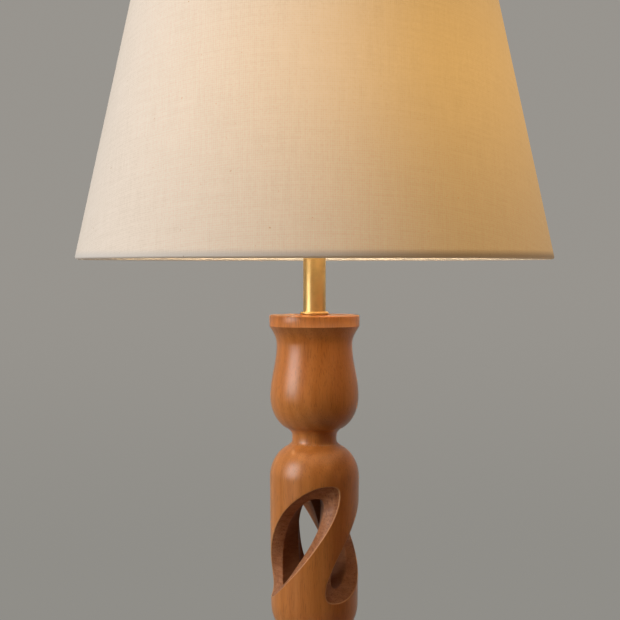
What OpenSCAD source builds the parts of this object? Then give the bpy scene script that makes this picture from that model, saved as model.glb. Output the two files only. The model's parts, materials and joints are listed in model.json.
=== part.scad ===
// Table lamp: a turned wooden column with an open three-strand twist, a brass neck and lamp socket,
// a wire harp, and a linen empire shade held by a finial.
// Millimetres, +Z up, origin at the centre of the underside. The switch knob points along -Y.

/* [Base] */
// Diameter of the round wooden base
base_d = 168; // [160:1:190]
// Thickness of the wooden base
base_h = 28; // [27:1:34]
// Thickness of the felt underneath
felt_t = 3; // [2:0.5:4]
// Diameter of the cast-iron weight
weight_d = 123; // [110:1:126]

/* [Column] */
// Height of the foot between the base and the twist
foot_h = 59; // [56:1:70]
// Height of the twisted barrel
barrel_h = 164; // [156:1:180]
// Height of the tulip-shaped piece above the twist
vase_h = 108; // [104:1:116]
// Largest radius of the barrel, at its upper shoulder
barrel_r = 37.6; // [36:0.2:40]
// Largest radius of the barrel at its lower shoulder
barrel_low_r = 36.6; // [35:0.2:39]
// Radius of the narrow necks above and below the barrel
neck_r = 18.8; // [18.4:0.1:20]
// Radius of the tulip's top flange
flange_r = 38; // [36:0.5:41]
// Radius of the tulip's waist, just under its flange
waist_r = 31.8; // [30:0.2:33]
// Radius of the tulip's bulge
bulge_r = 37.2; // [36:0.2:39]

/* [Open twist] */
// How far the strands turn for each millimetre of height, in degrees
twist_rate = 1.08; // [0.8:0.02:1.2]
// Radius at which the bevel around an opening ends
bevel_r = 27; // [25:0.5:30]
// Half the height of an opening at the outer surface
window_h = 49; // [44:1:52]
// Half the width of an opening at the outer surface, in degrees
window_w = 39.6; // [34:0.2:42]
// Radius of the bore that joins the three openings
cavity_r = 13.5; // [12:0.5:15]

/* [Neck and socket] */
// Outer radius of the brass neck tube
tube_r = 9.5; // [9:0.1:11]
// Length of the brass neck tube
tube_h = 63; // [55:1:75]
// Radius of the round collar under the neck tube
collar_r = 12; // [11.5:0.1:13.5]
// Outer radius of the brass socket shell
shell_r = 17.4; // [17.4:0.1:18.5]

/* [Bulb] */
// Radius of the bulb's screw cap
cap_r = 13.17; // [13.15:0.01:13.19]
// Radius of the glass globe
globe_r = 29.8; // [27:0.2:31]
// Height of the glass above the screw cap
glass_h = 88; // [84:1:92]

/* [Harp] */
// Half the distance between the harp's two legs
leg_x = 27; // [25:0.5:29]
// Half the width of the harp at its widest
harp_x = 57.5; // [52:0.5:62]
// Radius of the harp's wire
wire_r = 2; // [1.8:0.1:2.1]

/* [Shade] */
// Diameter of the shade's lower edge
shade_low_d = 400; // [390:1:420]
// Diameter of the shade's upper edge
shade_top_d = 280; // [270:1:290]
// Height of the shade
shade_h = 275; // [273:0.5:281]
// Gap between the top of the wood and the shade's lower edge
shade_gap = 46.5; // [46:0.5:50]
// Thickness of the linen
linen_t = 0.9; // [0.7:0.1:1.2]
// Thickness of the stiff liner behind the linen
liner_t = 0.5; // [0.4:0.1:0.8]

/* [Hidden] */
$fn = 96;
eps = 0.01;
run_gap = 0.08;              // radial clearance of a running fit
glue_gap = 0.05;             // radial clearance of a glued spigot

wood = "#9c5a2c";
brass = "#b98a45";
steel = "#b9b6ae";
iron = "#4a4a4c";
bakelite = "#2b211b";
card = "#a98c62";
glass_white = "#f4ecd8";
linen = "#e6d3b4";

// Heights of the column's pieces
base_top = felt_t + base_h;
barrel_z = base_top + foot_h;
barrel_top = barrel_z + barrel_h;
barrel_mid = barrel_z + barrel_h / 2;
wood_top = barrel_top + vase_h;

// Base
base_r = base_d / 2;
base_edge_z = 24;            // top of the base's upright edge
recess_r = weight_d / 2 + 0.5;
recess_top = 14;
channel_w = 22;
channel_top = 24;
gland_z = 17.5;
gland_bore = 2.7;
block_y = 36;
block_size = [18, 14, 8];
base_screw_at = 27;
base_screw_turn = 30;        // keeps the screws clear of the lead's channel
base_screw_top = recess_top + 34;
weight_screw_at = 46;
weight_screw_turn = 30;

// Spigots and the bore for the lead
bore_r = 5;
spigot_r = 12;
spigot_h = 12;
foot_spigot_r = 15;
foot_spigot_h = 4.5;

// Lead from the terminal block to the socket
lead_r = 2.3;
lead_groove_r = 3;
lead_out_r = 15;             // distance from the axis while it lies in its strand
lead_rise = 22;              // height over which it moves out to the strand
strand_at = -74.6;           // direction of the ridge of the strand that holds it, at the barrel's middle
first_window_at = -126.6;    // direction of the first opening, at the barrel's middle

// Neck
collar_h = 2.7;
collar_floor = 0.9;
pipe_r = 4.8;
pipe_bore = 3.2;
insert_r = 8;
insert_h = 22;
tube_wall = 1.2;
tube_z = wood_top + collar_floor;
tube_top = tube_z + tube_h;
tube_cap_h = 1.5;
saddle_z = tube_top + tube_cap_h;
saddle_t = 1.6;
saddle_w = 12;
socket_z = saddle_z + saddle_t;

// Socket, measured from its own underside
cap_h = 18;
shell_h = 60;
shell_t = 0.8;
body_r = 14.4;
body_top = 33;
switch_z = socket_z + 26;
spindle_r = 2.5;
thread_r = 13.25;            // inside of the screw shell
thread_t = 0.65;
thread_h = 24;
thread_z = socket_z + body_top;

// Bulb, measured from the socket
bulb_z = thread_z + 1.4;
cap_bottom = bulb_z + 2.6;
cap_top = cap_bottom + 21;
globe_z = cap_top + glass_h - globe_r;
glass_t = 0.9;

// Shade and harp top
shade_z = wood_top + shade_gap;
shade_top = shade_z + shade_h;
shade_slope = (shade_low_d - shade_top_d) / 2 / shade_h;
ring_r = 1.6;
spider_drop = 12;
spider_z = shade_top - spider_drop - 1;
washer_t = 1.5;
washer_r = 12.5;
stud_r = 3.2;
boss_top = spider_z - 2.8;
boss_h = 5;
arm_reach = 131;

// Harp
pin_bottom = socket_z + 15;
pin_top = pin_bottom + 12;
leg_top = pin_top + 26;
leg_r = 2.2;
sleeve_r = 4;
sleeve_h = 16;

// Points along a smooth curve through a list of knots, with n steps between neighbours
function knot(k, i) = k[max(0, min(len(k) - 1, i))];
function between(a, b, c, d, t) =
    0.5 * (2 * b + (c - a) * t + (2 * a - 5 * b + 4 * c - d) * t * t + (3 * b - a - 3 * c + d) * t * t * t);
function curve(k, n) = concat(
    [for (i = [0:len(k) - 2], s = [0:n - 1])
        between(knot(k, i - 1), knot(k, i), knot(k, i + 1), knot(k, i + 2), s / n)],
    [k[len(k) - 1]]);

// Points on an ellipse with its middle at [r0, z0], from angle a to angle b
function oval(r0, z0, rr, rz, a, b, n) =
    [for (i = [0:n]) let (t = a + (b - a) * i / n) [r0 + rr * cos(t), z0 + rz * sin(t)]];

function ease(t) = let (u = max(0, min(1, t))) u * u * (3 - 2 * u);
function power(x, e) = sign(x) * pow(abs(x), e);

// Solid of revolution under an outline that runs from bottom to top
module turned(pts) {
    rotate_extrude() polygon(concat([[0, pts[0][1]]], pts, [[0, pts[len(pts) - 1][1]]]));
}

module tube(r_out, r_in, h, z = 0) {
    translate([0, 0, z]) difference() {
        cylinder(r = r_out, h = h);
        translate([0, 0, -eps]) cylinder(r = r_in, h = h + 2 * eps);
    }
}

module around(n, r = 0, start = 90) {
    for (i = [0:n - 1]) rotate([0, 0, start + i * 360 / n]) translate([r, 0, 0]) children();
}

// Solid through rings of n points that lie one after another, each going round the same way
module lofted(points, n) {
    rings = len(points) / n;
    sides = [for (i = [0:rings - 2], s = [0:n - 1]) let (a = i * n + s, b = i * n + (s + 1) % n)
        each [[a, a + n, b], [b, a + n, b + n]]];
    ends = [[for (s = [0:n - 1]) s], [for (s = [n - 1:-1:0]) (rings - 1) * n + s]];
    polyhedron(points, concat(sides, ends));
}

// Round bar swept along points
function unit(v) = v / norm(v);
function heading(p, i) = unit(p[min(i + 1, len(p) - 1)] - p[max(i - 1, 0)]);
function ring(p, i, r, n) =
    let (t = heading(p, i), u = unit(cross(t, cross([1, 0, 0.02], t))), v = cross(t, u))
    [for (s = [0:n - 1]) p[i] + r * (cos(360 * s / n) * u + sin(360 * s / n) * v)];
module swept(p, r, n = 8) {
    lofted([for (i = [0:len(p) - 1]) each ring(p, i, r, n)], n);
}

// ---- Base ----

module base_felt() {
    color("#3d3a34") cylinder(r = base_r - 4, h = felt_t);
}

module base_screw_holes(r) {
    around(3, base_screw_at, base_screw_turn) translate([0, 0, recess_top])
        cylinder(r = r, h = base_screw_top - recess_top + 1);
}

module base_disc() {
    outline = concat(
        [[base_r - 1.5, felt_t], [base_r, felt_t + 1.5], [base_r, base_edge_z]],
        oval(base_r - 4, base_edge_z, 4, 4, 15, 75, 4),
        [[base_r - 5, base_edge_z + 4], [base_r - 7, base_edge_z + 5]],
        curve([[base_r - 9, base_top - 1.6], [base_r - 18, base_top - 0.4], [base_r - 30, base_top]], 4));
    color(wood) difference() {
        turned(outline);
        translate([0, 0, felt_t - 1]) cylinder(r = recess_r, h = recess_top - felt_t + 1);
        translate([-channel_w / 2, -12, recess_top - 1])
            cube([channel_w, 72, channel_top - recess_top + 1]);
        translate([0, 0, base_top - foot_spigot_h - 0.3]) cylinder(r = foot_spigot_r + glue_gap, h = 10);
        cylinder(r = bore_r, h = base_top + 1);
        translate([0, 50, gland_z]) rotate([-90, 0, 0]) cylinder(r = 4.2, h = base_r);
        base_screw_holes(2.1);
        around(3, base_screw_at, base_screw_turn) translate([0, 0, recess_top - 1]) cylinder(r = 4.6, h = 5);
        around(3, weight_screw_at, weight_screw_turn) translate([0, 0, recess_top - 1]) cylinder(r = 1.85, h = 10.2);
    }
}

module base_weight() {
    color(iron) difference() {
        translate([0, 0, felt_t + 1]) cylinder(r = weight_d / 2, h = recess_top - felt_t - 1.3);
        cylinder(r = 9, h = 20);
        around(3, weight_screw_at, weight_screw_turn) cylinder(r = 2.1, h = 20);
        around(3, weight_screw_at, weight_screw_turn) cylinder(r = 4.3, h = felt_t + 4.5);
    }
}

module weight_screws() {
    color(steel) around(3, weight_screw_at, weight_screw_turn) difference() {
        union() {
            translate([0, 0, felt_t + 1.6]) cylinder(r = 4, h = 2.9);
            translate([0, 0, felt_t + 4]) cylinder(r = 1.8, h = 16);
        }
        translate([-3, -0.5, felt_t + 1]) cube([6, 1, 1.8]);
    }
}

module base_screws() {
    color(steel) around(3, base_screw_at, base_screw_turn) difference() {
        union() {
            translate([0, 0, recess_top + 0.8]) cylinder(r = 4.2, h = 3.2);
            translate([0, 0, recess_top + 3]) cylinder(r = 2, h = base_screw_top - recess_top - 3);
        }
        translate([-3, -0.5, recess_top]) cube([6, 1, 2]);
    }
}

module cord_gland() {
    color(bakelite) translate([0, base_r, gland_z]) rotate([90, 0, 0]) difference() {
        union() {
            translate([0, 0, 0.4]) cylinder(r = 4.15, h = 20);
            translate([0, 0, -1.6]) cylinder(r = 5.6, h = 1.6);
            translate([0, 0, -2.4]) cylinder(r1 = 4.6, r2 = 5.6, h = 0.8);
        }
        translate([0, 0, -3]) cylinder(r = gland_bore, h = 30);
    }
}

module terminal_block() {
    hole_x = block_size[0] / 4;
    color("#ded7c6") difference() {
        translate([-block_size[0] / 2, block_y, recess_top + 0.3]) cube(block_size);
        for (x = [-hole_x, hole_x]) {
            translate([x, block_y + 4, recess_top + 4.3]) rotate([-90, 0, 0]) cylinder(r = 1.6, h = 12);
            translate([x, block_y + 8, recess_top + 3]) cylinder(r = 1.7, h = 10);
        }
    }
}

module terminal_screws() {
    hole_x = block_size[0] / 4;
    color(brass) for (x = [-hole_x, hole_x]) translate([x, block_y + 8, recess_top + 5.5]) difference() {
        cylinder(r = 1.6, h = 2.4);
        translate([-2, -0.3, 1.6]) cube([4, 0.6, 2]);
    }
}

// ---- Lead ----

function strand_angle(z) = strand_at + twist_rate * (z - barrel_mid);
function lead_reach(z) =
    lead_out_r * ease((z - barrel_z - 14) / lead_rise) * ease((barrel_top - 14 - z) / lead_rise);
function lead_in_strand(z) =
    let (r = lead_reach(z), a = strand_angle(z)) [r * cos(a), r * sin(a), z];
strand_path = [for (z = [barrel_z + 12:7:barrel_top - 12]) lead_in_strand(z)];
lead_z = recess_top + 4.6;
lead_path = concat(
    [[0, block_y, lead_z], [0, 14, lead_z], [0, 8, lead_z + 1], [0, 3, lead_z + 4], [0, 0.6, lead_z + 9],
     [0, 0, lead_z + 15]],
    strand_path,
    [[0, 0, barrel_top + 2], [0, 0, socket_z + 17.5]]);

module inner_lead() {
    color("#c9a24a") swept(lead_path, lead_r);
}

// ---- Wooden column ----

module foot() {
    outline = curve([[50, 0], [50.5, 2.5], [48.5, 5], [40, 9], [32.5, 16], [30, 23], [32, 31], [34.5, 38],
        [33.5, 44.5], [27, 51], [neck_r + 1, foot_h - 4], [neck_r, foot_h]], 5);
    color(wood) difference() {
        union() {
            translate([0, 0, base_top]) turned(outline);
            translate([0, 0, base_top - foot_spigot_h]) cylinder(r = foot_spigot_r, h = 6);
        }
        translate([0, 0, barrel_z - spigot_h - 0.5]) cylinder(r = spigot_r + glue_gap, h = 20);
        cylinder(r = bore_r, h = barrel_z);
        base_screw_holes(2.05);
    }
}

// One opening: a rounded lozenge that leans with the twist. A wide bevel runs in from the outer
// surface; behind it the sides fall away, so that each strand ends in a ridge towards the bore.
window_n = 36;
bevel_h = 38;                // half the height of the outline where the bevel ends
bevel_w = 31.8;              // half its width there, in degrees
bevel_lean = -2.2;           // how far its middle lies to the side, in degrees
inner_h = 40;
inner_w = 44;
inner_lean = -8;
round_power = 0.8;           // lozenge with full corners
point_power = 1;             // plain ellipse, for the lower end behind the surface
function by_depth(r, inner, bevel, outer) = r < bevel_r
    ? inner + (bevel - inner) * (max(r, cavity_r) - cavity_r) / (bevel_r - cavity_r)
    : bevel + (outer - bevel) * (r - bevel_r) / (barrel_r - bevel_r);
function window_point(r, t, s) =
    let (p = sin(t) > 0 ? round_power : by_depth(r, point_power, point_power, round_power),
         z = s * by_depth(r, inner_h, bevel_h, window_h) * power(sin(t), p),
         w = s * by_depth(r, inner_w, bevel_w, window_w) * power(cos(t), p),
         a = twist_rate * z + w + by_depth(r, inner_lean, bevel_lean, 0))
    [r * cos(a), r * sin(a), z];
module window_cutter() {
    outer_r = barrel_r + 7;
    // each loop is [radius, share of the full outline]; the last three close the outside
    loops = [[9, 0.01], [9, 1], [cavity_r, 1], [20, 1], [bevel_r, 1], [outer_r, 1], [outer_r, 0.66],
        [outer_r, 0.33], [outer_r, 0.01]];
    n = window_n;
    lofted([for (l = loops, i = [0:n - 1]) window_point(l[0], 360 * i / n + 5, l[1])], n);
}

module twist_barrel() {
    shoulder_h = 28.7;
    shoulder_r0 = 12.6;
    outline = concat(
        [[neck_r, 0]],
        oval(shoulder_r0, shoulder_h, barrel_low_r - shoulder_r0, shoulder_h, -75, 0, 12),
        oval(shoulder_r0, barrel_h - shoulder_h, barrel_r - shoulder_r0, shoulder_h, 0, 75, 12),
        [[neck_r, barrel_h]]);
    cavity = concat(
        oval(bore_r, 36, cavity_r - bore_r, 12, -90, 0, 4),
        oval(bore_r, barrel_h - 36, cavity_r - bore_r, 12, 0, 90, 4));
    color(wood) difference() {
        translate([0, 0, barrel_z]) union() {
            turned(outline);
            translate([0, 0, -spigot_h]) cylinder(r = spigot_r, h = spigot_h + 6);
        }
        translate([0, 0, barrel_z]) turned(cavity);
        translate([0, 0, barrel_z - spigot_h - 1]) cylinder(r = bore_r, h = barrel_h + spigot_h);
        translate([0, 0, barrel_top - spigot_h - 0.5]) cylinder(r = spigot_r + glue_gap, h = 20);
        for (i = [0:2]) translate([0, 0, barrel_mid]) rotate([0, 0, first_window_at + 120 * i]) window_cutter();
        swept(strand_path, lead_groove_r);
    }
}

module upper_vase() {
    bulge_z = 39.5;
    waist_z = 83.5;
    flange_z = 98.3;
    lip = 1.3;
    outline = concat(
        [[neck_r, 0], [neck_r - 0.2, 4], [neck_r, 8]],
        oval(15.2, bulge_z, bulge_r - 15.2, 29, -76, 0, 12),
        [for (i = [1:12]) let (t = i / 12)
            [(bulge_r + waist_r) / 2 + (bulge_r - waist_r) / 2 * cos(180 * t), bulge_z + (waist_z - bulge_z) * t]],
        [for (i = [1:8]) let (t = i / 8)
            [waist_r + (flange_r - 0.3 - waist_r) * (1 - cos(90 * t)), waist_z + (flange_z - waist_z) * t]],
        [[flange_r, flange_z + 0.7]],
        oval(flange_r - lip, vase_h - lip, lip, lip, 0, 90, 4));
    color(wood) difference() {
        translate([0, 0, barrel_top]) union() {
            turned(outline);
            translate([0, 0, -spigot_h]) cylinder(r = spigot_r, h = spigot_h + 4);
        }
        translate([0, 0, barrel_top - spigot_h - 1]) cylinder(r = bore_r, h = vase_h + 20);
        translate([0, 0, wood_top - insert_h - 0.5]) cylinder(r = insert_r + glue_gap, h = 30);
    }
}

// ---- Brass neck ----

module pipe_insert() {
    color(brass) tube(insert_r, pipe_r + glue_gap, insert_h, wood_top - insert_h);
}

module upper_pipe() {
    color(steel) tube(pipe_r, pipe_bore, socket_z + 5 - wood_top + insert_h - 2, wood_top - insert_h + 2);
}

module neck_collar() {
    rim = collar_h - collar_floor;
    color(brass) translate([0, 0, wood_top]) difference() {
        turned(concat([[collar_r - 0.4, 0]], oval(collar_r - 0.9, collar_h / 2, 0.9, collar_h / 2, -80, 90, 8)));
        translate([0, 0, -1]) cylinder(r = pipe_r + glue_gap, h = 10);
        translate([0, 0, collar_floor]) cylinder(r = tube_r + glue_gap, h = rim + 1);
    }
}

module neck_tube() {
    color(brass) tube(tube_r, tube_r - tube_wall, tube_h, tube_z);
}

module tube_cap() {
    color(brass) difference() {
        union() {
            translate([0, 0, tube_top]) cylinder(r = tube_r + 1, h = tube_cap_h);
            translate([0, 0, tube_top - 3]) cylinder(r = tube_r - tube_wall - glue_gap, h = 3 + eps);
        }
        translate([0, 0, tube_top - 5]) cylinder(r = pipe_r + glue_gap, h = 10);
    }
}

// ---- Harp ----

module harp_saddle() {
    arm_z = pin_bottom - saddle_z;
    bend = 8;
    right_side = [[0, 0], [leg_x - bend + 2, 0], [leg_x + saddle_t / 2, bend - 2], [leg_x + saddle_t / 2, arm_z],
        [leg_x - saddle_t / 2, arm_z], [leg_x - saddle_t / 2, bend - 1.3], [leg_x - bend + 1.3, saddle_t],
        [0, saddle_t]];
    color(brass) translate([0, 0, saddle_z]) difference() {
        union() {
            for (side = [0, 1]) mirror([side, 0, 0]) {
                translate([0, saddle_w / 2, 0]) rotate([90, 0, 0]) linear_extrude(saddle_w) polygon(right_side);
                translate([leg_x, 0, arm_z - 3]) cylinder(r = leg_r, h = 3 + pin_top - pin_bottom);
            }
        }
        translate([0, 0, -1]) cylinder(r = pipe_r + glue_gap, h = 4);
    }
}

module harp_loop() {
    top = boss_top - boss_h / 2;
    right = [[leg_x, 0, leg_top - 10], [leg_x, 0, leg_top], [leg_x + 6, 0, leg_top + 18],
        [harp_x - 8, 0, leg_top + 42], [harp_x, 0, leg_top + 90], [harp_x - 4, 0, leg_top + 132],
        [harp_x - 16, 0, top - 22], [26, 0, top - 5], [10, 0, top], [5, 0, top]];
    path = curve(right, 2);
    color(brass) for (side = [0, 1]) mirror([side, 0, 0]) {
        swept(path, wire_r);
        translate([leg_x, 0, pin_top]) cylinder(r = leg_r, h = leg_top - pin_top - 2, $fn = 12);
    }
}

module harp_boss() {
    color(brass) difference() {
        translate([0, 0, boss_top - boss_h]) cylinder(r = 6.5, h = boss_h);
        translate([0, 0, boss_top - 10]) cylinder(r = stud_r + run_gap, h = 20);
        translate([-10, 0, boss_top - boss_h / 2]) rotate([0, 90, 0]) cylinder(r = wire_r + 0.05, h = 5.2);
        translate([4.8, 0, boss_top - boss_h / 2]) rotate([0, 90, 0]) cylinder(r = wire_r + 0.05, h = 5.2);
    }
}

module harp_sleeve(side) {
    color(brass) translate([side * leg_x, 0, pin_bottom + 0.5]) difference() {
        turned([[sleeve_r - 0.5, 0], [sleeve_r, 0.5], [sleeve_r, sleeve_h - 5], [sleeve_r - 0.9, sleeve_h - 3],
            [sleeve_r - 0.9, sleeve_h]]);
        translate([0, 0, -1]) cylinder(r = leg_r + run_gap, h = sleeve_h + 2);
    }
}
module sleeve_left() { harp_sleeve(-1); }
module sleeve_right() { harp_sleeve(1); }

// ---- Socket ----

module switch_hole(r) {
    translate([0, 0, switch_z]) rotate([90, 0, 0]) cylinder(r = r, h = 40);
}

module socket_cap() {
    neck = 7.5;
    outer = concat([[neck, 0], [neck, 5]], curve([[neck + 1, 6], [13, 8], [16, 11], [16.5, 14]], 4),
        [[16.5, cap_h]]);
    inner = concat([[neck - 1, 6.6]], curve([[neck, 7], [12.6, 9], [15.2, 11.6], [15.7, 14]], 4),
        [[15.7, cap_h + 1]]);
    color(brass) translate([0, 0, socket_z]) difference() {
        turned(outer);
        turned(inner);
        translate([0, 0, -1]) cylinder(r = pipe_r + glue_gap, h = 10);
        translate([4, 0, 2.7]) rotate([0, 90, 0]) cylinder(r = 1.3, h = 6);
    }
}

module cap_set_screw() {
    color(steel) translate([pipe_r + 0.1, 0, socket_z + 2.7]) rotate([0, 90, 0]) difference() {
        cylinder(r = 1.3, h = 5);
        translate([-2, -0.3, 4]) cube([4, 0.6, 2]);
    }
}

module socket_shell() {
    color(brass) difference() {
        translate([0, 0, socket_z]) difference() {
            turned([[shell_r, cap_h - 3], [shell_r + 0.5, cap_h - 2], [shell_r, cap_h - 1],
                [shell_r, shell_h - 1], [shell_r - 0.5, shell_h]]);
            cylinder(r = shell_r - shell_t, h = shell_h + 1);
        }
        switch_hole(4.6);
    }
}

module socket_sleeve() {
    color(card) difference() {
        tube(16.3, 15, shell_h - cap_h - 2, socket_z + cap_h + 0.4);
        switch_hole(4.6);
    }
}

module socket_body() {
    color(bakelite) difference() {
        translate([0, 0, socket_z + cap_h - 0.5]) cylinder(r = body_r, h = body_top - cap_h + 0.5);
        translate([0, -2, switch_z]) rotate([90, 0, 0]) cylinder(r = spindle_r + 0.4, h = 20);
        for (side = [-1, 1]) translate([side * (body_r - 2), 0, socket_z + 23]) rotate([0, 90, 0])
            cylinder(r = 1.6, h = 5, center = true);
    }
}

module switch_bush() {
    color(brass) translate([0, 0, switch_z]) rotate([90, 0, 0])
        tube(4.5, spindle_r + run_gap, 7.5, body_r + 0.4);
}

module screw_shell() {
    color(brass) translate([0, 0, thread_z]) tube(thread_r + thread_t, thread_r, thread_h);
}

module centre_contact() {
    color(brass) translate([0, 0, thread_z]) cylinder(r = 3.5, h = 1);
}

module socket_screws() {
    color(steel) for (side = [-1, 1]) translate([side * (body_r - 4), 0, socket_z + 23])
        rotate([0, side * 90, 0]) cylinder(r = 1.5, h = 4.4);
}

module switch_spindle() {
    color(brass) translate([0, -3, switch_z]) rotate([90, 0, 0]) cylinder(r = spindle_r, h = 32);
}

module switch_knob() {
    knob_r = 6.6;
    color(bakelite) translate([0, -24, switch_z]) rotate([90, 0, 0]) difference() {
        turned(concat([[knob_r - 0.8, 0], [knob_r, 0.8], [knob_r, 11]], oval(knob_r - 3, 11, 3, 3, 15, 90, 5)));
        translate([0, 0, -1]) cylinder(r = spindle_r, h = 12);
        around(12, knob_r + 0.45) translate([0, 0, -1]) cylinder(r = 0.9, h = 20);
    }
}

// ---- Bulb ----

module bulb_glass() {
    neck = cap_r - 0.9;
    knots = [[neck, cap_top - 6], [neck, cap_top], [neck + 1, cap_top + 6], [neck + 6.5, cap_top + 22],
        [globe_r - 4, globe_z - 17]];
    outer = concat(curve(knots, 5), oval(0, globe_z, globe_r, globe_r, -18, 88, 18));
    inner = [for (p = outer) [max(0.5, p[0] - glass_t), p[1] - glass_t * max(0, (p[1] - globe_z) / globe_r)]];
    color(glass_white) difference() {
        turned(outer);
        turned(concat([[neck - glass_t, cap_top - 7]], inner));
    }
}

module bulb_cap() {
    color(steel) difference() {
        turned([[9.5, cap_bottom], [cap_r - 0.4, cap_bottom + 3], [cap_r, cap_bottom + 4], [cap_r, cap_top]]);
        translate([0, 0, cap_bottom + 4]) cylinder(r = cap_r - 0.6, h = 30);
        translate([0, 0, cap_bottom - 1]) cylinder(r = 6, h = 6);
    }
}

module bulb_insulator() {
    color(bakelite) turned([[3.5, bulb_z + 1], [9.3, cap_bottom - eps], [5.9, cap_bottom], [5.9, cap_bottom + 2]]);
}

module bulb_contact() {
    color(steel) translate([0, 0, bulb_z]) cylinder(r = 3.2, h = 1);
}

module bulb_stem() {
    color(glass_white) turned(curve([[11, cap_top - 4], [6, cap_top + 2], [3, cap_top + 10], [2.6, cap_top + 30],
        [1.6, cap_top + 34]], 4));
}

module bulb_filament() {
    coil_z = cap_top + 44;
    coil_r = 9;
    color(steel) {
        translate([0, 0, coil_z]) rotate([0, 0, 20]) rotate_extrude(angle = 320) translate([coil_r, 0]) circle(r = 0.6);
        for (a = [20, 340]) rotate([0, 0, a]) translate([coil_r, 0, coil_z]) rotate([0, -158, 0])
            cylinder(r = 0.45, h = 15.7);
    }
}

// ---- Shade ----

function cone_r(z) = shade_low_d / 2 - shade_slope * (z - shade_z);

module cone_wall(inset, thick) {
    low = cone_r(shade_z) - inset;
    top = cone_r(shade_top) - inset;
    rotate_extrude() polygon([[low - thick, shade_z], [low, shade_z], [top, shade_top], [top - thick, shade_top]]);
}

module shade_cover() { color(linen) cone_wall(0, linen_t); }

module shade_liner() { color("#f3ead6") cone_wall(linen_t, liner_t); }

module wire_ring(z) {
    r = cone_r(z) - linen_t - liner_t - ring_r - 0.15;
    translate([0, 0, z]) rotate_extrude() translate([r, 0]) circle(r = ring_r);
}
module top_ring() { color(steel) wire_ring(shade_top - ring_r - 0.3); }
module bottom_ring() { color(steel) wire_ring(shade_z + ring_r + 0.3); }

module shade_spider() {
    arm_z = spider_z + washer_t / 2;
    arm_r = 1.4;
    tip = [cone_r(shade_top) - 7, shade_top - 4];
    rise = [tip[0] - arm_reach, tip[1] - arm_z];
    color(brass) difference() {
        union() {
            translate([0, 0, spider_z - 0.8]) cylinder(r = washer_r, h = washer_t + 1.6);
            around(3) translate([8, 0, arm_z]) rotate([0, 90, 0]) cylinder(r = arm_r, h = arm_reach - 8);
            around(3) translate([arm_reach, 0, arm_z]) rotate([0, atan2(rise[0], rise[1]), 0])
                translate([0, 0, -1.2]) cylinder(r = arm_r, h = norm(rise) + 1.2);
        }
        translate([0, 0, spider_z - 5]) cylinder(r = stud_r + glue_gap, h = 10);
    }
}

module harp_stud() {
    color(brass) {
        translate([0, 0, boss_top - boss_h - 1.8]) cylinder(r = 5.2, h = 1.6);
        translate([0, 0, boss_top - boss_h - 1.8]) cylinder(r = stud_r, h = 27);
        translate([0, 0, boss_top + 0.2]) cylinder(r = 6.5, h = 1.8);
    }
}

// ---- Finial ----

finial_z = spider_z + washer_t + 0.9;
finial_bore_top = boss_top - boss_h - 1.8 + 28;

module finial_bore() {
    translate([0, 0, finial_z - 5]) cylinder(r = stud_r + run_gap, h = finial_bore_top - finial_z + 5);
}

module finial_base() {
    color(brass) difference() {
        translate([0, 0, finial_z]) turned([[6.4, 0], [6.8, 0.6], [6.8, 2.2], [6, 3]]);
        finial_bore();
    }
}

module finial_knob() {
    outline = concat([[5.2, 0]], curve([[4.6, 1.5], [4.4, 3], [6.6, 5.5], [8.6, 9], [9, 12.5], [7.6, 16.5],
        [4.2, 19.3], [3.4, 21], [3.9, 22.8], [2.8, 25], [0.4, 25.8]], 4));
    color(brass) difference() {
        translate([0, 0, finial_z + 3.02]) turned(outline);
        finial_bore();
    }
}

base_felt();
base_disc();
base_weight();
weight_screws();
base_screws();
cord_gland();
terminal_block();
terminal_screws();
inner_lead();
foot();
twist_barrel();
upper_vase();
pipe_insert();
upper_pipe();
neck_collar();
neck_tube();
tube_cap();
harp_saddle();
socket_cap();
cap_set_screw();
socket_shell();
socket_sleeve();
socket_body();
switch_bush();
screw_shell();
centre_contact();
socket_screws();
switch_spindle();
switch_knob();
bulb_glass();
bulb_cap();
bulb_insulator();
bulb_contact();
bulb_stem();
bulb_filament();
harp_loop();
harp_boss();
sleeve_left();
sleeve_right();
harp_stud();
shade_spider();
top_ring();
bottom_ring();
shade_cover();
shade_liner();
finial_base();
finial_knob();
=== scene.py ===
"""Looks of the table lamp: turned and carved wood, brushed brass, a lit linen shade."""
import json
import math

import bpy
import bmesh
import numpy as np
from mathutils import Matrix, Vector
from mathutils.geometry import delaunay_2d_cdt


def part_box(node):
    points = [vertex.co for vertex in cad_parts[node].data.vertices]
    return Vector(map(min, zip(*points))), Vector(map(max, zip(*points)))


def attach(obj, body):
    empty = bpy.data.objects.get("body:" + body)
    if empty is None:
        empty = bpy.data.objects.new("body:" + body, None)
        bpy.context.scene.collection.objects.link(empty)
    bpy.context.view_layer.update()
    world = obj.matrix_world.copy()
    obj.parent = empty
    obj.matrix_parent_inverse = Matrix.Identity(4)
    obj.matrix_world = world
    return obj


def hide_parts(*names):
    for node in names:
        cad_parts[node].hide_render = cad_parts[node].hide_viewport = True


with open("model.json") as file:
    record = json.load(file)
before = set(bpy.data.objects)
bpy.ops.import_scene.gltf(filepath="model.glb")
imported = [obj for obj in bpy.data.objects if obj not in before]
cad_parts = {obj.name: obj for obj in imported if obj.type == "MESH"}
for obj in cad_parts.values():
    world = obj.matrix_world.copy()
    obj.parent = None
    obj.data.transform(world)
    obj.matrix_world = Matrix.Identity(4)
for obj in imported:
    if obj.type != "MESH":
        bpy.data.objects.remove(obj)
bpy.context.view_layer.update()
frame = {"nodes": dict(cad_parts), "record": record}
MM = 0.001
TAU = 2 * math.pi

# ---- Places and sizes, from the frame ----


def low(node):
    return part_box(node)[0]


def high(node):
    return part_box(node)[1]


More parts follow.
